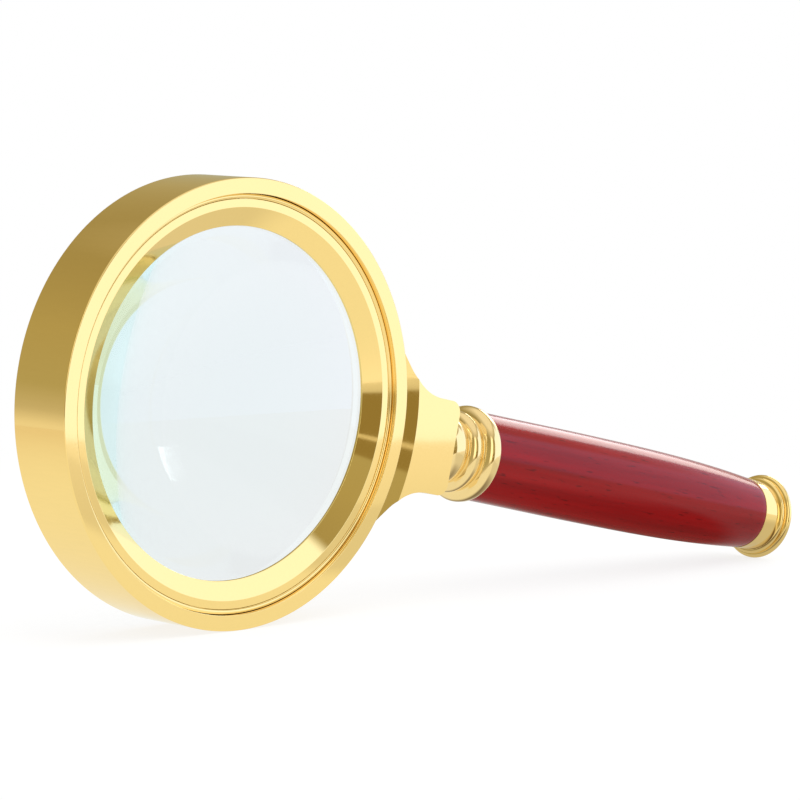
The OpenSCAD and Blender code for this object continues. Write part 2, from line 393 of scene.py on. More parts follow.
@dataclass(frozen=True)
class GoldPlate(Finish):
    """Thin gold plating on a buffed casting.

    It mirrors the room nearly sharp.  The eye tells it from a perfect mirror by the slow
    waves that buffing leaves and by faint polishing lines.  Gilding that is mirrored in
    gilding is made paler, as a camera shows it, and not orange.

    Attributes:
        colour: The plating's reflectance.
        roughness: Blur of the polish.
        wave: Width of the buffing waves, in millimetres.
        wave_height: Their height, in millimetres.
        line: Spacing of the polishing lines, in millimetres, coarser than real ones to show.
        stretch: How far the lines run along x, y and z, as divisors of the pattern's scale.
        doubled: Reflectance where the plating is seen in more plating.
        doubled_share: How much of that is shown there.
        piped: Colour of the light that the lens pipes to it.
    """

    colour: str = "#FFDE90"
    roughness: float = 0.05
    wave: float = 14.0
    wave_height: float = 0.012
    line: float = 0.6
    stretch: tuple[float, float, float] = (1.0, 14.0, 1.0)
    doubled: str = "#FFF3D4"
    doubled_share: float = 0.75
    piped: str = "#FFF4C8"

    def shade(self, nodes: Nodes) -> Socket:
        place = self.stance.coordinates(nodes)
        waves = nodes.noise(place, self.wave, 1.0, roughness=0.4)
        drawn = nodes.vector("MULTIPLY", place, tuple(1 / s for s in self.stretch))
        lines = nodes.noise(drawn, self.line, 3.0, roughness=0.6)
        blur = nodes.ranged(lines, (0.35, 0.75), (self.roughness * 0.8, self.roughness * 1.5))
        tint = nodes.ramp(lines, [(0.3, linear(self.colour, 0.985)), (0.7, linear(self.colour))])
        again = nodes.calc("MULTIPLY", nodes.light("Is Glossy Ray"), self.doubled_share)
        metal = nodes.result("BsdfPrincipled", {
            "Base Color": nodes.blend(again, tint, linear(self.doubled)), "Metallic": 1.0,
            "Roughness": blur, "Normal": nodes.bump(waves, self.wave_height)})
        return glow_through_glass(nodes, metal, self.piped, through=0.72, mirrored=0.0)


@dataclass(frozen=True)
class LensGlass(Finish):
    """Lens glass with polished faces and an edge as the grinding wheel leaves it.

    It is clear with the slightest grey, it bends what lies behind it, and both faces mirror
    the room faintly.  Where the rear face is seen flat enough it mirrors all light and pipes
    it across the lens, and that long way tints it cyan.  Shadow rays pass, because the lens
    throws hardly any shadow, and so do rays from the gilding, which would else be lost
    inside.

    Attributes:
        tint: Colour of light that passes the lens.
        clear: What shadow rays and rays from the gilding keep of their colour.
        long_way: Colour that a long way through the glass turns to.
        density: How strongly it does so.
        ior: Refractive index, that of a light crown or of acrylic.
        edge: Colour of the ground edge.
        rim: Radius of the ground edge, in millimetres.
        rim_reach: How far inside that radius the glass counts as edge, in millimetres.
        grit: Size of the grinding marks, in millimetres.
    """

    tint: str = "#EEF0F1"
    clear: str = "#F8FAFB"
    long_way: str = "#84FFFC"
    density: float = 3.0
    ior: float = 1.49
    edge: str = "#E6EBEA"
    rim: float = 45.0
    rim_reach: float = 0.03
    grit: float = 0.25

    def shade(self, nodes: Nodes) -> Socket:
        glass = nodes.result("BsdfPrincipled", {
            "Base Color": linear(self.tint), "Roughness": 0.0, "IOR": self.ior,
            "Transmission Weight": 1.0})
        passed = nodes.result("BsdfTransparent", {"Color": linear(self.clear)})
        outside = nodes.calc("LESS_THAN", nodes.light("Transmission Depth"), 0.5)
        mirrored = nodes.calc("MULTIPLY", nodes.light("Is Glossy Ray"), outside)
        passing = nodes.calc("MAXIMUM", nodes.light("Is Shadow Ray"), mirrored)
        place = self.stance.coordinates(nodes)
        reach = nodes.vector("LENGTH", nodes.vector("MULTIPLY", place, (1.0, 0.0, 1.0)))
        on_edge = nodes.calc("GREATER_THAN", reach, self.rim - self.rim_reach)
        return nodes.mixed(on_edge, nodes.mixed(passing, glass, passed),
                           self.ground(nodes, place))

    def ground(self, nodes: Nodes, place: Socket) -> Socket:
        """Adds the nodes of the edge: frosted, white and a little uneven.

        Args:
            nodes: The material's nodes.
            place: The vector socket with the instrument's millimetres.

        Returns:
            The surface to show.
        """
        marks = nodes.noise(place, self.grit, 2.0)
        frosted = nodes.result("BsdfPrincipled", {
            "Base Color": linear(self.edge),
            "Roughness": nodes.ranged(marks, (0.0, 1.0), (0.5, 0.75)),
            "IOR": self.ior, "Transmission Weight": 0.3})
        return glow_through_glass(nodes, frosted)

    def fill(self, nodes: Nodes) -> Socket:
        return nodes.result("VolumeAbsorption", {
            "Color": linear(self.long_way), "Density": self.density})


@dataclass(frozen=True)
class LacqueredWood(Finish):
    """Turned beech or birch under red stain and a clear gloss lacquer.

    The grain runs along the handle as slow bands, with fine dark pores a few millimetres
    long.  The lacquer is smooth, with a faint orange peel that frays its highlights.

    Attributes:
        light: Stain on the pale grain.
        dark: Stain on the dark grain.
        pore: Colour in the pores.
        band: Width of a grain band, in millimetres.
        band_stretch: How many times longer than wide it is.
        pore_width: Width of a pore, in millimetres, a little wider than real so that it shows.
        pore_length: Length of a pore, in millimetres.
        pore_depth: Its depth, as a share of the orange peel's height.
        peel: Size of the lacquer's orange peel, in millimetres.
        peel_height: Its height, in millimetres.
    """

    light: str = "#950B0F"
    dark: str = "#7D080C"
    pore: str = "#4A0508"
    band: float = 3.2
    band_stretch: float = 24.0
    pore_width: float = 0.35
    pore_length: float = 2.6
    pore_depth: float = 0.5
    peel: float = 1.6
    peel_height: float = 0.012

    def shade(self, nodes: Nodes) -> Socket:
        place = self.stance.coordinates(nodes)
        along = nodes.vector("MULTIPLY", place, (1 / self.band_stretch, 1.0, 1.0))
        bands = nodes.noise(along, self.band, 3.0, roughness=0.55, distortion=0.3)
        stain = nodes.ramp(bands, [(0.32, linear(self.dark)), (0.68, linear(self.light))])
        short = nodes.vector("MULTIPLY", place, (self.pore_width / self.pore_length, 1.0, 1.0))
        pores = nodes.ranged(nodes.noise(short, 2 * self.pore_width, 1.0), (0.63, 0.77),
                             (0.0, 0.6), smooth=True)
        skin = nodes.calc("MULTIPLY_ADD", pores, -self.pore_depth,
                          nodes.noise(place, self.peel, 2.0))
        return nodes.result("BsdfPrincipled", {
            "Base Color": nodes.blend(pores, stain, linear(self.pore)), "Roughness": 0.5,
            "Specular IOR Level": 0.0, "Coat Weight": 1.0, "Coat Roughness": 0.14,
            "Coat IOR": 1.31, "Coat Normal": nodes.bump(skin, self.peel_height)})


@dataclass(frozen=True)
class ZincPlate(Finish):
    """Bright zinc plating on machined steel: grey, satin, with turning marks.

    Attributes:
        mark: Spacing of the turning marks, in millimetres.
    """

    mark: float = 0.3

    def shade(self, nodes: Nodes) -> Socket:
        marks = nodes.noise(self.stance.coordinates(nodes), self.mark, 3.0)
        return nodes.result("BsdfPrincipled", {
            "Base Color": nodes.tones(marks, "#B9BCC0", "#D3D5D8"), "Metallic": 1.0,
            "Roughness": nodes.ranged(marks, (0.0, 1.0), (0.22, 0.42))})


@dataclass(frozen=True)
class VulcanisedFibre(Finish):
    """Punched red-brown fibre sheet, dull, with matted fibres.

    Attributes:
        fibre: Size of the matted fibres, in millimetres.
        fibre_height: Their height, in millimetres.
    """

    fibre: float = 0.4
    fibre_height: float = 0.03

    def shade(self, nodes: Nodes) -> Socket:
        mat = nodes.noise(self.stance.coordinates(nodes), self.fibre, 4.0, roughness=0.7)
        return nodes.result("BsdfPrincipled", {
            "Base Color": nodes.tones(mat, "#4A2A1D", "#6B4030"), "Roughness": 0.78,
            "Normal": nodes.bump(mat, self.fibre_height)})


@dataclass(frozen=True)
class SiliconeRubber(Finish):
    """Milky moulded silicone, soft and slightly dusty.

    Attributes:
        dust: Size of the dusty patches, in millimetres.
    """

    dust: float = 0.8

    def shade(self, nodes: Nodes) -> Socket:
        patches = nodes.noise(self.stance.coordinates(nodes), self.dust, 3.0)
        soft = nodes.result("BsdfPrincipled", {
            "Base Color": nodes.tones(patches, "#D8D4C6", "#E6E3D8"),
            "Roughness": nodes.ranged(patches, (0.0, 1.0), (0.45, 0.6)), "IOR": 1.41})
        return glow_through_glass(nodes, soft)


class Outline:
    """Pen that draws half the section of a turned piece, as radius and station.

    Local x is the radius and local z the station along the turning axis, in millimetres.
    """

    def __init__(self, radius: float, station: float, edge: float = 0.0) -> None:
        """Starts the outline.

        Args:
            radius: Radius of the first point.
            station: Its station.
            edge: Radius of the rounded corner there, once the outline is closed.
        """
        self.mesh = bmesh.new()
        self.first = self.mesh.verts.new((radius, 0.0, station))
        self.tip = self.first
        self.edges: list[tuple[bmesh.types.BMVert, float]] = []
        if edge:
            self.edges.append((self.first, edge))

    def to(self, radius: float, station: float, edge: float = 0.0) -> Outline:
        """Draws a straight line.

        Args:
            radius: Radius of the line's end.
            station: Its station.
            edge: Radius of the rounded corner there.

        Returns:
            The outline itself.
        """
        made = bmesh.ops.extrude_vert_indiv(self.mesh, verts=[self.tip])
        self.tip = made["verts"][0]
        self.tip.co = (radius, 0.0, station)
        if edge:
            self.edges.append((self.tip, edge))
        return self

    def arc(self, radius: float, station: float, turn: float, steps: int = 16) -> Outline:
        """Draws an arc from the tip.

        Args:
            radius: Radius of the arc's centre.
            station: Its station.
            turn: Angle of the arc, in degrees, positive from radius towards station.
            steps: Number of straight parts.

        Returns:
            The outline itself.
        """
        made = bmesh.ops.spin(self.mesh, geom=[self.tip], cent=(radius, 0.0, station),
                              axis=(0.0, -1.0, 0.0), angle=math.radians(turn), steps=steps)
        self.tip = points(made["geom_last"])[0]
        return self

    def bead(self, width: float, crest: float, end: float | None = None,
             steps: int = 24) -> Outline:
        """Draws a bead from the tip: two quarter ellipses that meet at its crest.

        Args:
            width: Width of the bead along the axis.
            crest: Radius over its crest.
            end: Radius at which it ends, the tip's own if left out.
            steps: Number of straight parts.

        Returns:
            The outline itself.
        """
        start = self.tip.co.copy()
        end = start.x if end is None else end
        before = set(self.mesh.verts)
        self.arc(start.x, start.z + width / 2, 180, steps)
        bulge = [v for v in self.mesh.verts if v not in before]
        crest_at = start.z + width / 2 + WELD
        for foot, half in ((start.x, [v for v in bulge if v.co.z <= crest_at]),
                           (end, [v for v in bulge if v.co.z > crest_at])):
            stretch = (crest - foot) / (width / 2)
            bmesh.ops.transform(
                self.mesh, verts=half,
                matrix=Matrix.Translation((foot, 0.0, 0.0))
                @ Matrix.Scale(stretch, 4, (1.0, 0.0, 0.0))
                @ Matrix.Translation((-start.x, 0.0, 0.0)))
        return self

    def round_tip(self, edge: float) -> Outline:
        """Gives the corner at the tip a rounded edge.

        Args:
            edge: Its radius.

        Returns:
            The outline itself.
        """
        self.edges.append((self.tip, edge))
        return self

    def close(self) -> Outline:
        """Joins the tip to the start."""
        self.mesh.edges.new((self.tip, self.first))
        return self

    def round_corners(self) -> None:
        """Rounds each corner that was given an edge radius."""
        for corner, radius in self.edges:
            ways = [e.other_vert(corner).co - corner.co for e in corner.link_edges]
            half = ways[0].angle(ways[1]) / 2
            bmesh.ops.bevel(self.mesh, geom=[corner], offset=radius / math.tan(half),
                            offset_type="OFFSET", segments=CORNER_STEPS, profile=0.5,
                            affect="VERTICES", material=-1)

    def turned(self, axis: TurningAxis, steps: int = TURNING_STEPS,
               lead: float = 0.0) -> bmesh.types.BMesh:
        """Rounds the corners and spins the outline about its axis.

        Args:
            axis: The line that the piece is turned about.
            steps: Number of steps round the axis.
            lead: Travel along the axis over the whole turn.

        Returns:
            The turned mesh, in the instrument's millimetres.
        """
        self.round_corners()
        mesh = self.mesh
        bmesh.ops.spin(mesh, geom=whole(mesh), cent=(0.0, 0.0, 0.0), axis=(0.0, 0.0, 1.0),
                       dvec=(0.0, 0.0, lead / steps), angle=math.tau, steps=steps,
                       use_merge=lead == 0.0)
        bmesh.ops.remove_doubles(mesh, verts=mesh.verts, dist=WELD)
        turn = Matrix.Rotation(math.radians(-90 if axis is TurningAxis.LENS else 90), 4,
                               "X" if axis is TurningAxis.LENS else "Y")
        bmesh.ops.transform(mesh, matrix=turn, verts=mesh.verts)
        return mesh


@dataclass
class Workshop:
    """Turns finished meshes into pieces of the scene.

    Attributes:
        stance: How the instrument stands.
    """

    stance: Stance

    def piece(self, name: str, mesh: bmesh.types.BMesh, finish: Finish, body: Body, slot: str,
              stands_for: Sequence[str], level_flats: bool = True) -> None:
        """Makes one piece from a mesh in the instrument's millimetres.

        Args:
            name: Name of the piece.
            mesh: Its mesh, which is used up.
            finish: Its finish.
            body: The body that it moves with.
            slot: The record's material slot; not used.
            stands_for: The nodes that it replaces.
            level_flats: Whether flat faces keep flat shading beside rounded edges.
        """
        bmesh.ops.transform(mesh, matrix=self.stance.matrix(), verts=mesh.verts)
        bmesh.ops.recalc_face_normals(mesh, faces=mesh.faces)
        for face in mesh.faces:
            face.smooth = True
        for edge in mesh.edges:
            edge.smooth = edge.calc_face_angle(0.0) < SOFT_EDGE
        data = finished_mesh(name, mesh)
        data.materials.append(finish.material())
        obj = placed(name, data)
        if level_flats:
            level = obj.modifiers.new("Level flats", "WEIGHTED_NORMAL")
            level.mode = "FACE_AREA"
            level.weight = 60
            level.keep_sharp = True
        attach(obj, body.value)
        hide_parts(*stands_for)
        log.info("%s: %d faces on %s", name, len(data.polygons), body.value)


@dataclass
class LensHead:
    """The ring, its threaded bezel, the snap ring in the bezel's groove, and the lens.

    Radii are from the lens axis and depths from the plane of the front rim.

    Attributes:
        workshop: Makes the pieces.
        gold: Finish of the band.
        bezel_gold: Finish of the bezel and the snap ring.
        glass: Finish of the lens.
        width: Width of the band from front to back.
        outer: Outside radius of the band.
        bore: Radius of the bore that the bezel screws into.
        pocket: Radius of the lens's pocket.
        opening: Radius of the clear opening.
        lens_front: Depth of the lens's edge at its front.
        lens_rear: Depth of the lens's edge at its back.
        lip_front: Depth of the front of the lip behind the lens.
        lip_rear: Depth of the back of that lip.
        lip: Radius of that lip's bore, which the silicone ring lines.
        skirt_end: Depth of the bezel's rear end.
        rim_round: Radius on the band's outer corners.
        groove_in: Inner radius of the bezel's groove.
        slope_in: Radius at which the bezel's slope starts.
        drop: Depth of the bezel's face under the rim.
        groove_floor: Depth of the groove's floor.
        slope_end: Depth of the slope's inner end.
        nose: Depth of the bezel's nose, in front of the lens.
        room: Clearance round the bezel and in front of the lens's edge.
        wire: Radius of the snap ring's wire.
        wire_gap: Gap between its ends.
        wire_lift: How far it lies above the groove's floor.
        lens_radius: Radius of the lens.
        curvature: Radius of curvature of its faces.
    """

    workshop: Workshop
    gold: Finish
    bezel_gold: Finish
    glass: Finish
    width: float = 18.6
    outer: float = 54.0
    bore: float = 50.2
    pocket: float = 45.3
    opening: float = 42.4
    lens_front: float = 5.542
    lens_rear: float = 9.542
    lip_front: float = 10.892
    lip_rear: float = 13.092
    lip: float = 43.4
    skirt_end: float = 6.642
    rim_round: float = 0.35
    groove_in: float = 48.9
    slope_in: float = 46.9
    drop: float = 1.6
    groove_floor: float = 2.5
    slope_end: float = 4.1
    nose: float = 4.7
    room: float = 0.05
    wire: float = 0.6
    wire_gap: float = 1.5
    wire_lift: float = 0.03
    lens_radius: float = 45.0
    curvature: float = 150.0

    def behind_rim(self, mesh: bmesh.types.BMesh) -> bmesh.types.BMesh:
        """Moves a mesh turned from depths so that the band's middle is at zero."""
        bmesh.ops.translate(mesh, vec=(0.0, -self.width / 2, 0.0), verts=mesh.verts)
        return mesh

    def band(self) -> None:
        """Builds the wide ring with its rim, thread bore, lens pocket and rear lip."""
        outline = Outline(self.bore, 0.0, edge=0.12)
        outline.to(self.outer, 0.0, self.rim_round)
        outline.to(self.outer, self.width, self.rim_round)
        outline.to(self.bore, self.width, edge=0.2)
        outline.to(self.lip, self.lip_rear, edge=0.25)
        outline.to(self.lip, self.lip_front, edge=0.15)
        outline.to(self.pocket, self.lip_front)
        outline.to(self.pocket, self.skirt_end)
        outline.to(self.bore, self.skirt_end).close()
        mesh = self.behind_rim(outline.turned(TurningAxis.LENS))
        self.workshop.piece("gilt_band", mesh, self.gold, Body.HEAD, "gilt_band", ["frame_ring"])

    def bezel(self) -> None:
        """Builds the bezel: flat, groove, flat and the slope down to the lens."""
        outside = self.bore - self.room
        seat = self.lens_front - self.room
        outline = Outline(self.opening, self.slope_end, edge=0.15)
        outline.to(self.slope_in, self.drop, edge=0.18)
        outline.to(self.groove_in, self.drop, edge=0.12)
        outline.to(self.groove_in, self.groove_floor)
        outline.to(outside, self.groove_floor)
        outline.to(outside, self.skirt_end).to(self.pocket, self.skirt_end)
        outline.to(self.pocket, seat).to(self.lens_radius, seat)
        outline.to(self.opening, self.nose, edge=0.1).close()
        mesh = self.behind_rim(outline.turned(TurningAxis.LENS))
        self.workshop.piece("bezel", mesh, self.bezel_gold, Body.HEAD, "gilt_bezel",
                            ["bezel_ring"])

    def snap_wire(self) -> None:
        """Builds the open wire ring that lies in the bezel's groove."""
        middle = (self.bore + self.groove_in) / 2
        depth = self.groove_floor - self.wire - self.wire_lift
        half_gap = math.asin(self.wire_gap / 2 / middle)
        mesh = bmesh.new()
        bmesh.ops.create_circle(
            mesh, segments=WIRE_STEPS, radius=self.wire, cap_ends=True,
            matrix=(Matrix.Translation((middle, 0.0, depth))
                    @ Matrix.Rotation(math.pi / 2, 4, "X")))
        bmesh.ops.rotate(mesh, cent=(0.0, 0.0, 0.0), verts=mesh.verts,
                         matrix=Matrix.Rotation(math.pi + half_gap, 3, "Z"))
        bmesh.ops.spin(mesh, geom=whole(mesh), cent=(0.0, 0.0, 0.0), axis=(0.0, 0.0, 1.0),
                       angle=math.tau - 2 * half_gap, steps=2 * TURNING_STEPS)
        bmesh.ops.transform(mesh, matrix=Matrix.Rotation(-math.pi / 2, 4, "X"),
                            verts=mesh.verts)
        self.behind_rim(mesh)
        self.workshop.piece("snap_wire", mesh, self.bezel_gold, Body.HEAD, "gilt_bezel",
                            ["snap_ring"], level_flats=False)

    def lens(self) -> None:
        """Builds the biconvex lens."""
        sag = self.curvature - math.sqrt(self.curvature ** 2 - self.lens_radius ** 2)
        turn = math.degrees(math.asin(self.lens_radius / self.curvature))
        front_middle = self.lens_front - sag
        rear_middle = self.lens_rear + sag
        outline = Outline(0.0, front_middle)
        outline.arc(0.0, front_middle + self.curvature, turn, steps=40)
        outline.tip.co = (self.lens_radius, 0.0, self.lens_front)
        outline.to(self.lens_radius, self.lens_rear)
        outline.arc(0.0, rear_middle - self.curvature, turn, steps=40)
        outline.tip.co = (0.0, 0.0, rear_middle)
        mesh = self.behind_rim(outline.turned(TurningAxis.LENS))
        self.workshop.piece("glass_lens", mesh, self.glass, Body.HEAD, "lens_glass", ["lens"],
                            level_flats=False)

    def build(self) -> None:
        """Builds the four pieces."""
        self.band()
        self.bezel()
        self.snap_wire()
        self.lens()


@dataclass
class Neck:
    """The flared block between the ring and the ferrule, with its bevelled channels.

    Attributes:
        workshop: Makes the piece.
        gold: Its finish.
        ring: Radius of the ring that it is fitted to.
        depth: Its depth from front to back.
        end: Station of its outer end.
        height: Height of its straight part.
        straight: Length of that part.
        flare: Radius of the flares.
        foot_angle: Half the angle of the ring that the neck's foot covers, in degrees.
        foot_edge: Thickness of the foot's thin ends.
        bevel_width: Width of the bevel along the rim.
        bevel_drop: Its depth at the rim.
        corner: Radius of the end's corners.
        bore: Radius of the bore for the rod.
        bore_from: Station of the bore's inner end.
        recess: Radius of the washer's recess.
        recess_depth: Its depth.
        edge: Radius on the outline's edges.
        plain: Width past the bevels, along the ring, where these edges stay sharp.
    """

    workshop: Workshop
    gold: Finish
    ring: float = 54.0
    depth: float = 18.6
    end: float = 72.1
    height: float = 24.0
    straight: float = 7.1
    flare: float = 14.1
    foot_angle: float = 26.65
    foot_edge: float = 0.25
    bevel_width: float = 4.0
    bevel_drop: float = 2.3
    corner: float = 3.2
    bore: float = 3.05
    bore_from: float = 59.8
    recess: float = 6.55
    recess_depth: float = 1.0
    edge: float = 0.4
    plain: float = 0.8

    def block(self) -> bmesh.types.BMesh:
        """Builds the block from half its outline, mirrored and given its depth."""
        flare_at = self.end - self.straight
        half = self.height / 2
        angle = math.radians(self.foot_angle)
        foot_x = (self.ring + self.foot_edge) * math.cos(angle)
        foot_z = (self.ring + self.foot_edge) * math.sin(angle)
        across, rise = flare_at - foot_x, half + self.flare - foot_z
        turn = math.asin(self.flare / math.hypot(across, rise)) - math.atan2(rise, across)
        inner = foot_x - self.foot_edge - CUT_PAST
        pen = Outline(self.end, 0.0)
        pen.to(self.end, half - self.corner)
        pen.arc(self.end - self.corner, half - self.corner, 90, steps=12)
        pen.to(flare_at, half)
        pen.arc(flare_at, half + self.flare, -math.degrees(turn), steps=40)
        pen.to(foot_x, foot_z).to(inner, foot_z).to(inner, 0.0).close()
        mesh = pen.mesh
        bmesh.ops.contextual_create(mesh, geom=mesh.edges[:])
        bmesh.ops.mirror(mesh, geom=whole(mesh), axis="Z", merge_dist=WELD)
        bmesh.ops.dissolve_limit(mesh, angle_limit=math.radians(0.5), verts=mesh.verts,
                                 edges=[e for e in mesh.edges if len(e.link_faces) == 2])
        side = bmesh.ops.extrude_face_region(mesh, geom=mesh.faces[:])
        bmesh.ops.translate(mesh, vec=(0.0, self.depth, 0.0), verts=points(side["geom"]))
        bmesh.ops.translate(mesh, vec=(0.0, -self.depth / 2, 0.0), verts=mesh.verts)
        bmesh.ops.recalc_face_normals(mesh, faces=mesh.faces)
        return mesh

    def cutters(self) -> list[bmesh.types.BMesh]:
        """Builds what is cut away: ring, two channels, bore and washer recess."""
        cuts = []
        seat = bmesh.new()
        bmesh.ops.create_cone(seat, cap_ends=True, segments=TURNING_STEPS, radius1=self.ring,
                              radius2=self.ring, depth=self.depth + 4 * CUT_PAST,
                              matrix=Matrix.Rotation(math.pi / 2, 4, "X"))
        cuts.append(seat)
        past = 1 + CUT_PAST / self.bevel_drop
        for side in (-1, 1):
            channel = bmesh.new()
            height = self.bevel_drop * past
            middle = self.depth / 2 - self.bevel_drop + height / 2
            bmesh.ops.create_cone(
                channel, cap_ends=True, segments=TURNING_STEPS, radius1=self.ring,
                radius2=self.ring + self.bevel_width * past, depth=height,
                matrix=Matrix.Rotation(-side * math.pi / 2, 4, "X")
                @ Matrix.Translation((0.0, 0.0, middle)))
            cuts.append(channel)
        stop = self.end + CUT_PAST
        for radius, start in ((self.bore, self.bore_from),
                              (self.recess, self.end - self.recess_depth)):
            hole = bmesh.new()
            bmesh.ops.create_cone(hole, cap_ends=True, segments=PLAIN_STEPS, radius1=radius,
                                  radius2=radius, depth=stop - start,
                                  matrix=Matrix.Translation(((start + stop) / 2, 0.0, 0.0))
                                  @ Matrix.Rotation(math.pi / 2, 4, "Y"))
            cuts.append(hole)
        return cuts

    def build(self) -> None:
        """Cuts the block, rounds its edges a little and makes the piece."""
        mesh = cut_away(self.block(), self.cutters())
        self.soften(mesh)
        self.workshop.piece("flared_neck", mesh, self.gold, Body.HEAD, "gilt_neck", ["neck"])

    def soften(self, mesh: bmesh.types.BMesh) -> None:
        """Rounds the edges of the front and back where they meet the flares and the end."""
        reach = self.ring + self.bevel_width + self.plain
        edges = [
            e for e in mesh.edges
            if e.calc_face_angle(0.0) > SHARP_EDGE
            and all(abs(abs(v.co.y) - self.depth / 2) < AT_FACE
                    and math.hypot(v.co.x, v.co.z) > reach for v in e.verts)]
        bmesh.ops.bevel(mesh, geom=edges, offset=self.edge, offset_type="OFFSET", segments=3,
                        profile=0.5, affect="EDGES", clamp_overlap=True, material=-1)


def cut_away(block: bmesh.types.BMesh,
             cutters: Sequence[bmesh.types.BMesh]) -> bmesh.types.BMesh:
    """Cuts meshes out of a block.

    Args:
        block: The mesh to cut, which is used up.
        cutters: What is cut away, used up too.

    Returns:
        The mesh that is left.
    """
    base, *tools = [placed("cut", finished_mesh("cut", mesh)) for mesh in (block, *cutters)]
    for tool in tools:
        step = base.modifiers.new("Cut", "BOOLEAN")
        step.operation = "DIFFERENCE"
        step.solver = "EXACT"
        step.object = tool
    bpy.context.view_layer.update()
    cut = bmesh.new()
    cut.from_object(base, bpy.context.evaluated_depsgraph_get())
    for obj in [base, *tools]:
        bpy.data.objects.remove(obj)
    bmesh.ops.remove_doubles(cut, verts=cut.verts, dist=WELD)
    return cut


@dataclass
class Ferrule:
    """Three stepped beads that grow towards the grip, with a hollow for the nut.

    Attributes:
        workshop: Makes the piece.
        gold: Its finish.
        front: Station of its front end.
        beads: Crest radius and width of each bead.
        crease: Depth of the creases below the smaller bead's crest.
        tail: Drop of the last bead towards the wood.
        bore: Radius of the rod's bore.
        hollow: Radius of the nut's hollow.
        hollow_depth: Its depth.
    """

    workshop: Workshop
    gold: Finish
    front: float = 72.1
    beads: tuple[tuple[float, float], ...] = ((9.3, 6.0), (10.55, 4.0), (12.4, 4.5))
    crease: float = 1.5
    tail: float = 0.75
    bore: float = 3.05
    hollow: float = 7.0
    hollow_depth: float = 7.2

    def build(self) -> None:
        """Turns the ferrule."""
        ends = [crest - self.crease for crest, _ in self.beads[:-1]]
        ends.append(self.beads[-1][0] - self.tail)
        station = self.front
        outline = Outline(self.bore, station, edge=0.1).to(ends[0], station)
        for (crest, width), end in zip(self.beads, ends):
            outline.bead(width, crest, end)
            station += width
        outline.round_tip(edge=0.12)
        outline.to(self.hollow, station)
        outline.to(self.hollow, station - self.hollow_depth)
        outline.to(self.bore, station - self.hollow_depth).close()
        mesh = outline.turned(TurningAxis.HANDLE)
        self.workshop.piece("beaded_ferrule", mesh, self.gold, Body.COLLAR, "gilt_turned",
                            ["ferrule"])


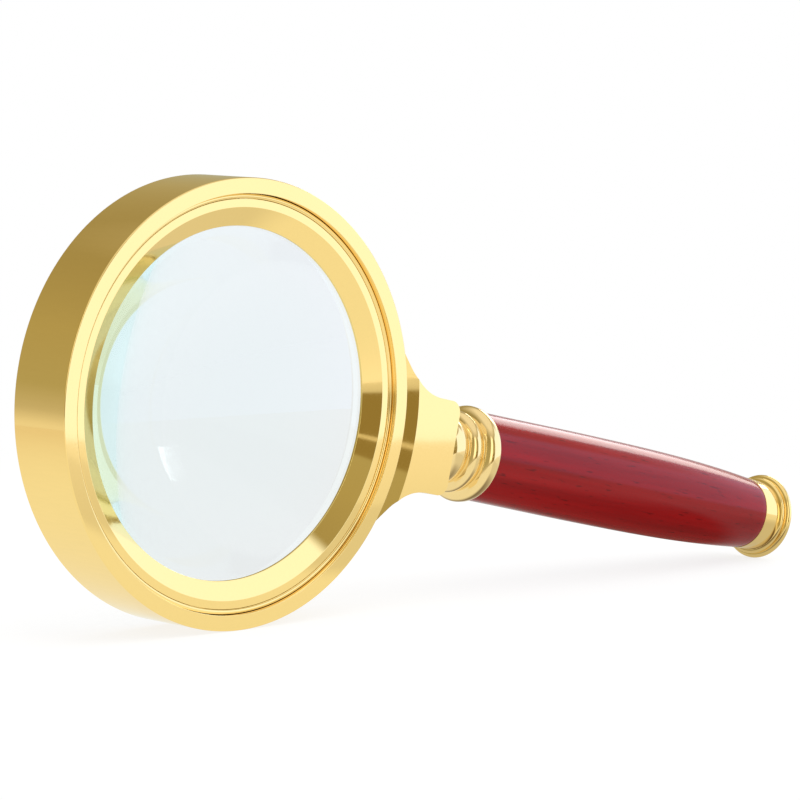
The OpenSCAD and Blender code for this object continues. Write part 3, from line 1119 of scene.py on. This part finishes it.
@dataclass
class Handle:
    """The wooden grip, the threaded rod through it and the end cap.

    Attributes:
        workshop: Makes the pieces.
        wood: Finish of the grip.
        zinc: Finish of the rod.
        gold: Finish of the cap.
        start: Station of the wood's front end.
        length: Length of the wood.
        front: Radius at its front end.
        swell: Radius and distance of the swell.
        tail: Radius at the cap.
        taper: How late the taper to the cap sets in.
        wood_edges: Radius on the wood's front and rear edges.
        wood_bore: Radius of the bore in the wood.
        rod: Radius of the rod over its thread.
        rod_from: Station of the rod's front end.
        rod_to: Station of its rear end.
        pitch: Pitch of its thread.
        crest: Where in a pitch the thread's flat crest begins and ends.
        root: Radius at the thread's root.
        spigot: Radius of the cap's spigot.
        spigot_length: Its length.
        spigot_room: Clearance round the spigot and past its end, in the wood.
        collar: Length of the cap's collar.
        proud: How far it stands proud of the wood.
        fall: How much it narrows towards the bead.
        bead: Height and width of the bead between collar and flange.
        flange: Radius over the flange.
        flange_edge: Radius of its round edge.
        dome: Height of the end's dome.
    """

    workshop: Workshop
    wood: Finish
    zinc: Finish
    gold: Finish
    start: float = 86.6
    length: float = 108.9
    front: float = 11.45
    swell: tuple[float, float] = (11.7, 44.0)
    tail: float = 9.7
    taper: float = 2.9
    wood_edges: tuple[float, float] = (0.25, 0.12)
    wood_bore: float = 3.2
    rod: float = 3.0
    rod_from: float = 60.1
    rod_to: float = 200.7
    pitch: float = 1.0
    crest: tuple[float, float] = (0.44, 0.56)
    root: float = 2.5
    spigot: float = 6.0
    spigot_length: float = 4.0
    spigot_room: tuple[float, float] = (0.05, 0.3)
    collar: float = 5.7
    proud: float = 0.1
    fall: float = 0.3
    bead: tuple[float, float] = (1.05, 1.5)
    flange: float = 11.6
    flange_edge: float = 0.95
    dome: float = 0.3

    def grip_radius(self, x: float) -> float:
        """Returns the grip's radius at a distance behind its front end."""
        swell, swell_at = self.swell
        if x < swell_at:
            return self.front + (swell - self.front) * (1 - math.cos(math.pi * x / swell_at)) / 2
        share = (x - swell_at) / (self.length - swell_at)
        return swell - (swell - self.tail) * share ** self.taper

    def grip(self) -> None:
        """Turns the wooden grip."""
        edges = dict(zip((0, GRIP_STEPS), self.wood_edges))
        outline = Outline(self.wood_bore, self.start)
        for step in range(GRIP_STEPS + 1):
            x = self.length * step / GRIP_STEPS
            outline.to(self.grip_radius(x), self.start + x, edges.get(step, 0.0))
        end = self.start + self.length
        round_it, past_it = self.spigot_room
        floor = end - self.spigot_length - past_it
        outline.to(self.spigot + round_it, end).to(self.spigot + round_it, floor)
        outline.to(self.wood_bore, floor).close()
        mesh = outline.turned(TurningAxis.HANDLE)
        self.workshop.piece("lacquered_grip", mesh, self.wood, Body.HANDLE, "lacquered_wood",
                            ["wood_grip"])

    def threaded_rod(self) -> None:
        """Turns one pitch of thread, doubles it until it is long enough and squares its ends."""
        start = self.rod_from - self.pitch
        outline = Outline(self.root, start)
        for share in self.crest:
            outline.to(self.rod, start + self.pitch * share)
        outline.to(self.root, start + self.pitch)
        mesh = outline.turned(TurningAxis.HANDLE, steps=THREAD_STEPS, lead=self.pitch)
        reach = self.pitch
        while start + reach < self.rod_to + self.pitch:
            copy = bmesh.ops.duplicate(mesh, geom=whole(mesh))
            bmesh.ops.translate(mesh, vec=(reach, 0.0, 0.0), verts=points(copy["geom"]))
            reach *= 2
        bmesh.ops.remove_doubles(mesh, verts=mesh.verts, dist=WELD)
        for station, way in ((self.rod_from, -1), (self.rod_to, 1)):
            bmesh.ops.bisect_plane(mesh, geom=whole(mesh), dist=1e-6, clear_outer=True,
                                   plane_co=(station, 0.0, 0.0), plane_no=(way, 0.0, 0.0))
            rim = [e for e in mesh.edges if e.is_boundary
                   and all(abs(v.co.x - station) < AT_FACE for v in e.verts)]
            bmesh.ops.contextual_create(mesh, geom=rim)
        self.workshop.piece("threaded_rod", mesh, self.zinc, Body.HANDLE, "steel", ["tie_rod"],
                            level_flats=False)

    def cap(self) -> None:
        """Turns the end cap: collar, bead, flange with a round edge, and domed end."""
        at = self.start + self.length
        collar_end = self.tail + self.proud - self.fall
        bead_height, bead_width = self.bead
        core = self.flange - self.flange_edge
        flange_from = at + self.collar + bead_width
        flange_at = flange_from + self.flange_edge
        dome_radius = (core ** 2 + self.dome ** 2) / (2 * self.dome)
        dome_turn = math.degrees(math.asin(core / dome_radius))
        end = flange_at + self.flange_edge + self.dome
        outline = Outline(0.0, at - self.spigot_length)
        outline.to(self.spigot, at - self.spigot_length, edge=0.2).to(self.spigot, at)
        outline.to(self.tail + self.proud, at, edge=0.12).to(collar_end, at + self.collar)
        outline.bead(bead_width, collar_end + bead_height).to(core, flange_from)
        outline.arc(core, flange_at, 180, steps=24)
        outline.arc(0.0, end - dome_radius, dome_turn, steps=16)
        mesh = outline.turned(TurningAxis.HANDLE)
        self.workshop.piece("end_cap_turned", mesh, self.gold, Body.HANDLE, "gilt_turned",
                            ["end_cap"])

    def build(self) -> None:
        """Builds the grip, the rod and the cap."""
        self.grip()
        self.threaded_rod()
        self.cap()


@dataclass(frozen=True)
class Card:
    """A patch of the studio that polished metal mirrors.

    Attributes:
        azimuth: Direction of its middle, in degrees, 0 towards the front and 90 to the right.
        elevation: Height of its middle, in degrees.
        width: Angle from side to side.
        height: Angle from top to bottom.
        fade: Angle over which its edges fade.
        colour: Its colour.
        level: How bright it is, where 1 is white paper.
    """

    azimuth: float
    elevation: float
    width: float
    height: float
    fade: float
    colour: str
    level: float


@dataclass
class Studio:
    """Pale table, soft light, the room that the metal mirrors, and the camera.

    Attributes:
        table: Radius of the table, in metres.
        grain: Size and height of the laminate's grain, in millimetres.
        near: Direction on the table towards its white end; the opposite end carries a painted warm
            shade.
        cards: Patches of the mirrored room, later ones over earlier ones.
        walls: Elevation in degrees, colour and level of the plain walls from floor to ceiling.
        aim: Height of the point that the lamps face, in metres.
        looks: Direction that the camera looks along.
        stands: Where the camera stands, in millimetres.
        roll: How far it is rolled, in degrees.
        focal: Its focal length, in millimetres.
    """

    table: float = 0.38
    grain: tuple[float, float] = (2.0, 0.01)
    near: tuple[float, float, float] = (0.64, -0.77, 0.0)
    cards: tuple[Card, ...] = (
        Card(56, 15, 92, 52, 5, "#D6E4FF", 1.7),
        Card(94, 38, 34, 20, 10, "#FFF9E6", 0.6),
        Card(127, 12, 14, 22, 8, "#FFFFFF", 0.7),
        Card(-40, 24, 28, 44, 8, "#FFFDF6", 1.5),
        Card(-10, 3, 34, 18, 1, "#FFE79C", 0.30),
        Card(-14, 6.6, 34, 1.1, 0.6, "#FFF6DC", 0.75),
    )
    walls: tuple[tuple[float, str, float], ...] = (
        (-20, "#FFFFFF", 0.93), (-9, "#FFFDF4", 0.86), (-4, "#FFFAE6", 0.58), (4, "#FFF8CB", 0.46),
        (22, "#FFF4C0", 0.45), (38, "#FFF2BC", 0.38), (62, "#FFFFFF", 0.95))
    aim: float = 0.05
    looks: tuple[float, float, float] = (0.68887, 0.71831, -0.0974)
    stands: tuple[float, float, float] = (-635.13, -647.85, 139.1)
    roll: float = 1.131
    focal: float = 162.0

    def floor(self) -> None:
        """Lays the round table."""
        mesh = bmesh.new()
        bmesh.ops.create_circle(mesh, cap_ends=True, segments=PLAIN_STEPS, radius=self.table)
        table = placed("table", finished_mesh("table", mesh))
        material = bpy.data.materials.new("White matt laminate")
        nodes = Nodes.of(material)
        nodes.add("OutputMaterial", {"Surface": self.laminate(nodes)})
        table.data.materials.append(material)

    def laminate(self, nodes: Nodes) -> Socket:
        """Adds the table's nodes: matt, and white to the camera away from the magnifier.

        Args:
            nodes: The table's nodes.

        Returns:
            The surface to show.
        """
        place = nodes.result("TexCoord", output="Object")
        away = nodes.vector("LENGTH", place)
        seen = nodes.direct()
        mirrored = self.mirrored_table(nodes, place, away)
        colour, glow = (nodes.blend(seen, mirrored, linear(pale)) for pale in ("#FDFDFD", WHITE))
        fade = nodes.ranged(away, (0.12, 0.34), (0.8, 1.0), smooth=True)
        level, share = (nodes.result("Mix", {"Factor": seen, "A": in_gold, "B": direct})
                        for in_gold, direct in ((1.04, 1.0), (0.9, fade)))
        size, height = self.grain
        bent = nodes.bump(nodes.noise(place, size * MM, 2.0), height)
        matt = nodes.result("BsdfDiffuse", {"Color": colour, "Normal": bent})
        white = nodes.result("Emission", {"Color": glow, "Strength": level})
        return nodes.mixed(share, matt, white)

    def mirrored_table(self, nodes: Nodes, place: Socket, away: Socket) -> Socket:
        """Adds the nodes for the table as the gilding mirrors it: pale, with a painted warm shade.

        Args:
            nodes: The table's nodes.
            place: Where on the table.
            away: How far that is from the table's middle.

        Returns:
            The table's colour.
        """
        side = nodes.ranged(nodes.vector("DOT_PRODUCT", place, self.near), (-0.1, 0.1))
        far = nodes.ranged(away, (0.14, 0.36), smooth=True)
        # Painted warm shade: beige at the end of the table away from near, white at the end
        # towards it.
        end = nodes.blend(side, linear("#E6E0D4"), linear(WHITE))
        open_table = nodes.blend(far, linear("#F2F4F0"), end)
        # Painted shade that the handle's underside mirrors, from handle_shade.
        return nodes.blend(self.handle_shade(nodes, place), open_table, linear("#6E6257"))

    def handle_shade(self, nodes: Nodes, place: Socket) -> Socket:
        """Adds the nodes for the shade that the handle's underside mirrors so near the table.

        Args:
            nodes: The table's nodes.
            place: Where on the table.

        Returns:
            The shade's depth, from 0 to 1.
        """
        ahead = nodes.result("SeparateXYZ", {0: place}, "X")
        shade = nodes.light("Is Glossy Ray")
        for value, span, depth in ((nodes.light("Ray Length"), (0.022, 0.066), (1.0, 0.22)),
                                   (ahead, (-0.005, 0.02), (0.0, 1.0)),
                                   (ahead, (0.106, 0.12), (1.0, 0.4))):
            shade = nodes.calc("MULTIPLY", shade, nodes.ranged(value, span, depth, smooth=True))
        return shade

    def room(self) -> None:
        """Makes the world: white to the camera, a studio to metal, soft light to the rest."""
        world = bpy.data.worlds.new("Studio")
        bpy.context.scene.world = world
        nodes = Nodes.of(world)
        way = nodes.result("TexCoord", output="Generated")
        rise = nodes.calc("ARCSINE", nodes.result("SeparateXYZ", {0: way}, "Z"))
        height = nodes.ranged(rise, (-math.pi / 2, math.pi / 2))
        seen = nodes.ramp(height, [((elevation + 90) / 180, linear(colour, level))
                                   for elevation, colour, level in self.walls])
        for card in self.cards:
            seen = self.hang(nodes, card, way, rise, seen)
        mirrored, soft, white = (
            nodes.result("Background", {"Color": colour, "Strength": level})
            for colour, level in ((seen, 1.0), (linear(WHITE), 0.8), (linear(WHITE), 1.0)))
        lit = nodes.mixed(nodes.light("Is Glossy Ray"), soft, mirrored)
        nodes.add("OutputWorld", {"Surface": nodes.mixed(nodes.direct(), lit, white)})

    def hang(self, nodes: Nodes, card: Card, way: Socket, rise: Socket, under: Socket) -> Socket:
        """Adds one card to the mirrored room.

        Args:
            nodes: The world's nodes.
            card: The card.
            way: Direction that is looked along.
            rise: Its elevation, in radians.
            under: Colour of the room behind the card.

        Returns:
            Colour of the room with the card.
        """
        faced = nodes.result("VectorRotate", {
            "Vector": way, "Angle": -math.radians(card.azimuth)}, rotation_type="Z_AXIS")
        parts = nodes.add("SeparateXYZ", {0: faced}).outputs
        aside = nodes.calc("ARCTAN2", parts["X"], nodes.calc("MULTIPLY", parts["Y"], -1.0))
        lifted = nodes.calc("SUBTRACT", rise, math.radians(card.elevation))
        masks = []
        for offset, size in ((aside, card.width), (lifted, card.height)):
            edge = (math.radians((size - card.fade) / 2), math.radians((size + card.fade) / 2))
            masks.append(nodes.ranged(nodes.calc("ABSOLUTE", offset), edge, (1.0, 0.0),
                                      smooth=True))
        return nodes.blend(nodes.calc("MULTIPLY", *masks), under, linear(card.colour, card.level))

    def lamp(self, name: str, azimuth: float, elevation: float, distance: float,
             size: tuple[float, float], radiance: float, mirrored: bool) -> None:
        """Hangs a softbox that faces the magnifier.

        Args:
            name: Its name.
            azimuth: Direction in degrees, 0 towards the front and 90 to the right.
            elevation: Height in degrees.
            distance: Distance in metres.
            size: Width and height in metres.
            radiance: How bright its face is, where 1 is white paper.
            mirrored: Whether polished metal shows it.
        """
        a, e = math.radians(azimuth), math.radians(elevation)
        away = Vector((math.sin(a) * math.cos(e), -math.cos(a) * math.cos(e), math.sin(e)))
        light = bpy.data.lights.new(name, "AREA")
        light.shape = "RECTANGLE"
        light.size, light.size_y = size
        light.energy = radiance * size[0] * size[1] * math.pi
        obj = placed(name, light)
        obj.location = away * distance + Vector((0.0, 0.0, self.aim))
        obj.rotation_euler = away.to_track_quat("Z", "Y").to_euler()
        obj.visible_glossy = mirrored
        obj.visible_camera = False
        obj.visible_transmission = mirrored

    def lamps(self) -> None:
        """Hangs the softboxes: a wide key, a fill from the left and a rim light."""
        self.lamp("Key softbox", 20, 60, 1.2, (1.4, 1.4), 1.3, False)
        self.lamp("Fill softbox", -80, 50, 1.2, (1.2, 1.2), 0.6, False)
        self.lamp("Rim softbox", 113, 22, 1.0, (0.40, 0.30), 3.4, True)

    def camera(self) -> None:
        """Sets the long lens that sees the magnifier from its front left."""
        forward = Vector(self.looks).normalized()
        level = forward.cross(Vector((0.0, 0.0, 1.0))).normalized()
        above = level.cross(forward)
        roll = math.radians(self.roll)
        right = level * math.cos(roll) + above * math.sin(roll)
        up = right.cross(forward)
        data = bpy.data.cameras.new("Camera")
        data.sensor_fit = "HORIZONTAL"
        data.sensor_width = 36.0
        data.lens = self.focal
        data.clip_start = 0.01
        data.clip_end = 50.0
        camera = placed("Camera", data)
        place = Matrix((right, up, -forward)).transposed().to_4x4()
        place.translation = Vector(self.stands) * MM
        camera.matrix_world = place
        bpy.context.scene.camera = camera

    def build(self) -> None:
        """Sets up the whole studio."""
        self.camera()
        self.floor()
        self.room()
        self.lamps()
        bpy.context.scene.view_settings.view_transform = "Standard"


def dress(frame: dict[str, Any], finishes: dict[str, Finish]) -> None:
    """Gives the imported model's own pieces that stay in view a finish.

    Args:
        finishes: Finish of each node.
    """
    for node, finish in finishes.items():
        obj = frame["nodes"][node]
        if not obj.material_slots:
            raise ValueError(f"{node} has no material slot")
        for place in obj.material_slots:
            place.material = finish.material()
        log.info("%s: finished as %s", node, finish.name)


def main() -> None:
    """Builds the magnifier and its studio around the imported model."""
    logging.basicConfig(level=logging.INFO, format="%(name)s: %(message)s")
    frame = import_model()
    stance = Stance.of(frame)
    workshop = Workshop(stance)

    band_gold = GoldPlate("Gold plate, buffed band", stance)
    bezel_gold = GoldPlate("Gold plate, turned bezel", stance, roughness=0.045, wave=20.0)
    neck_gold = GoldPlate("Gold plate, buffed neck", stance, wave=10.0, wave_height=0.008)
    turned_gold = GoldPlate("Gold plate, turned fittings", stance, roughness=0.06, wave=9.0,
                            stretch=(1.0, 1.0, 1.0))
    bead_gold = GoldPlate("Gold plate, turned ferrule", stance, colour="#FADC9A",
                          roughness=0.09, wave=9.0, stretch=(1.0, 1.0, 1.0))
    zinc = ZincPlate("Zinc-plated steel", stance)

    LensHead(workshop, band_gold, bezel_gold, LensGlass("Lens glass", stance)).build()
    Neck(workshop, neck_gold).build()
    Ferrule(workshop, bead_gold).build()
    Handle(workshop, LacqueredWood("Red-stained wood under lacquer", stance), zinc,
           turned_gold).build()
    dress(frame, {
        "lens_gasket": SiliconeRubber("Silicone rubber, moulded", stance),
        "neck_screws": zinc,
        "rod_nut": zinc,
        "ferrule_washer": VulcanisedFibre("Vulcanised fibre, punched", stance),
    })
    Studio().build()


if __name__ == "__main__":
    main()
